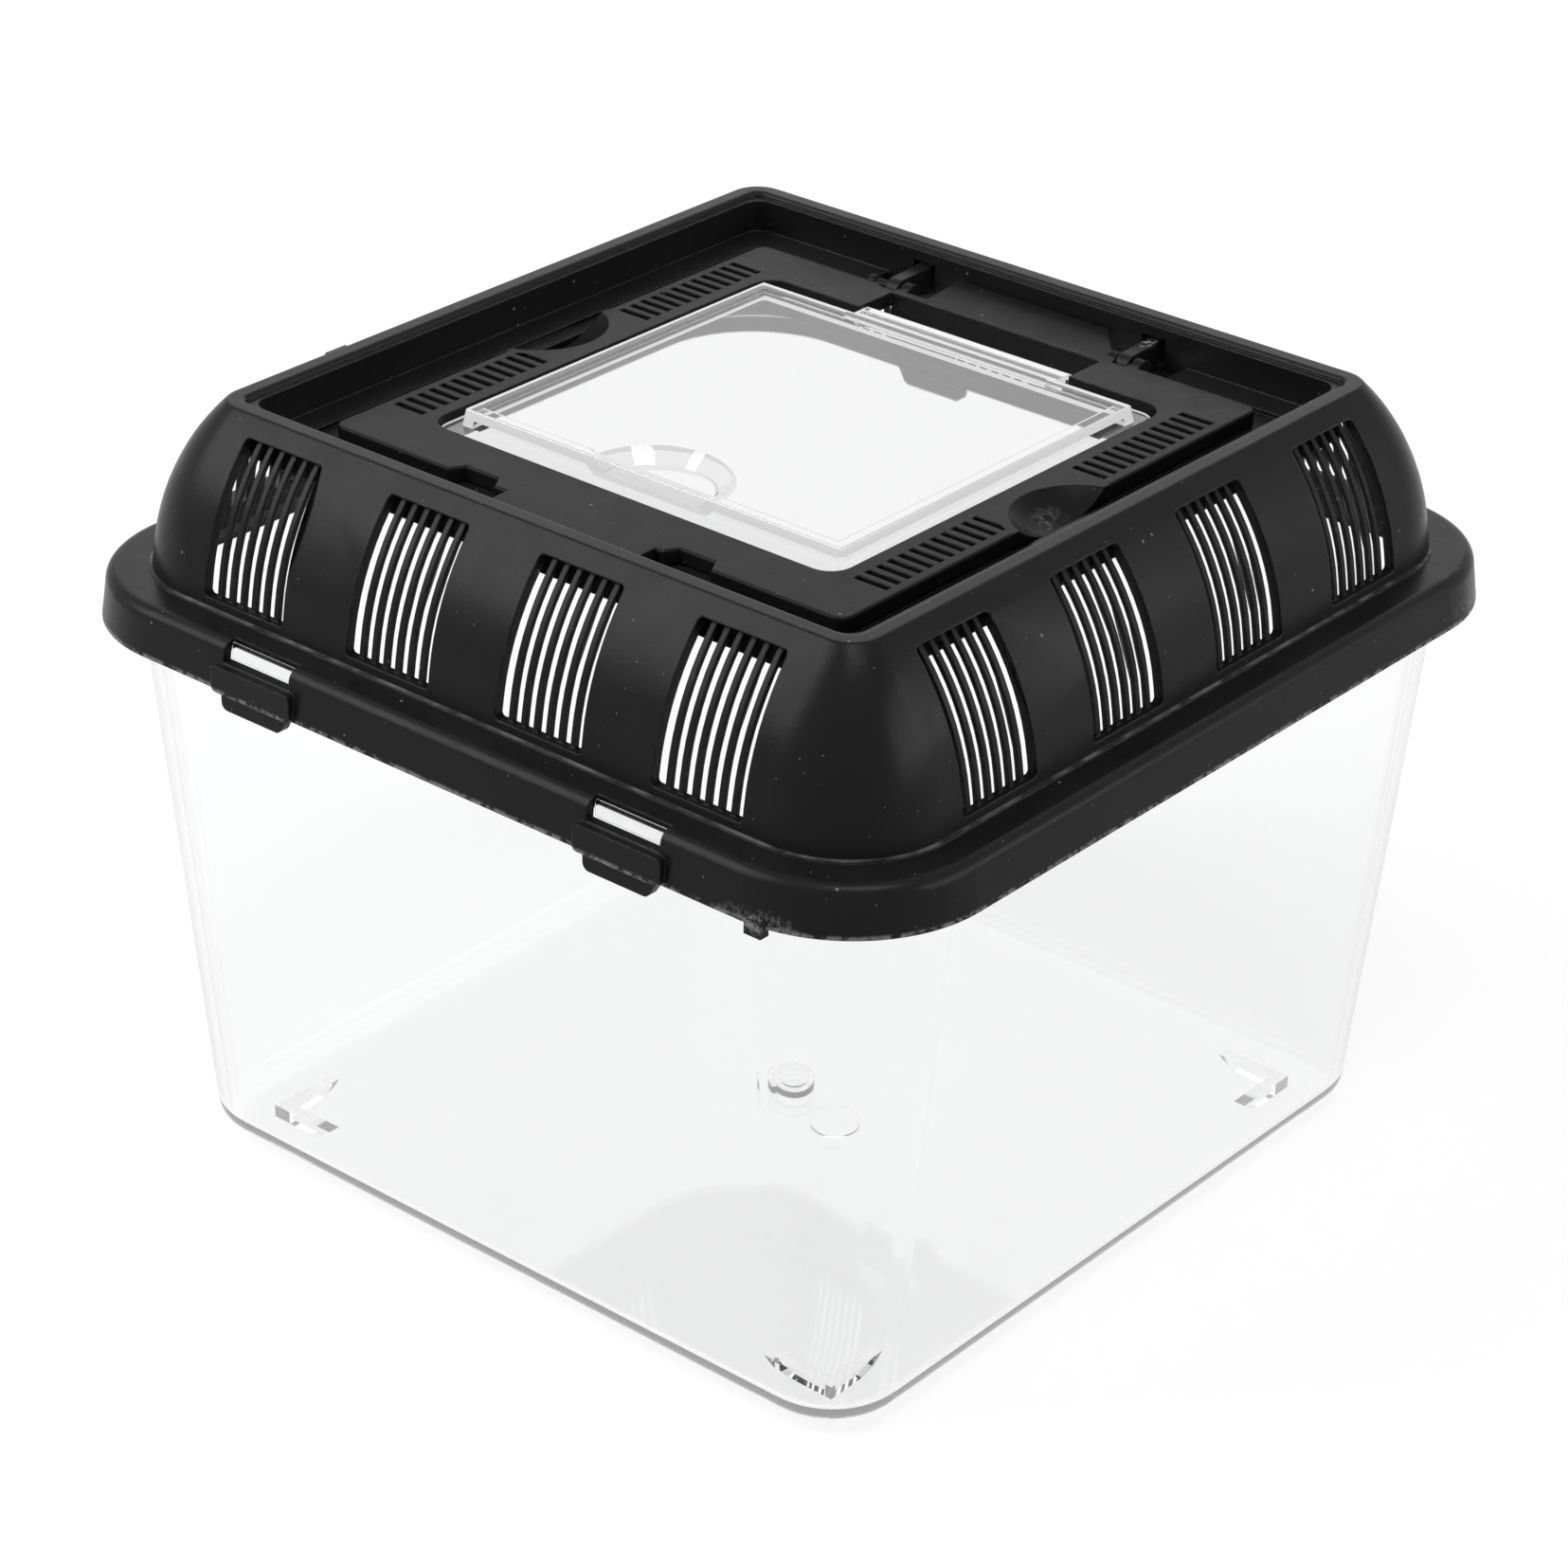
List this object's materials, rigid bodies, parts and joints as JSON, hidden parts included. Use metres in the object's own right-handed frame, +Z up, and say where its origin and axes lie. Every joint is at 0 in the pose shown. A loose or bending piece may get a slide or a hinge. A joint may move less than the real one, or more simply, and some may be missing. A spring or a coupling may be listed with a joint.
{
  "type": "reptile breeding box",
  "caption": "Clear drafted plastic box on low feet with a black vented top frame, a hinged hatch lid and a small clear feeding door.",
  "frame": {"origin": "on the floor under the middle of the box, in the plane of the underside of the four feet", "axes": "+Z up, -Y towards the front with the finger bowl, +Y towards the hinges, +X to the right"},
  "size_m": [0.1908, 0.1926, 0.1481],
  "materials": {
    "clear_plastic": "clear polished acrylic",
    "black_plastic": "satin black moulded plastic"
  },
  "bodies": {
    "tub": {"clear_tub": "clear_plastic"},
    "top_frame": {"vented_top_frame": "black_plastic"},
    "hatch": {"hatch_lid": "black_plastic"},
    "door": {"clear_feeding_door": "clear_plastic"}
  },
  "joints": [
    {"name": "frame_lift", "type": "slide", "parent": "tub", "child": "top_frame", "axis": [0, 0, 1], "range_m": [0, 0.04]},
    {"name": "hatch_hinge", "type": "hinge", "parent": "top_frame", "child": "hatch", "pos_m": [0, 0.06026, 0.1417], "axis": [-1, 0, 0], "range_deg": [0, 95]},
    {"name": "door_hinge", "type": "hinge", "parent": "hatch", "child": "door", "pos_m": [0, 0.04756, 0.1414], "axis": [-1, 0, 0], "range_deg": [0, 90]}
  ]
}
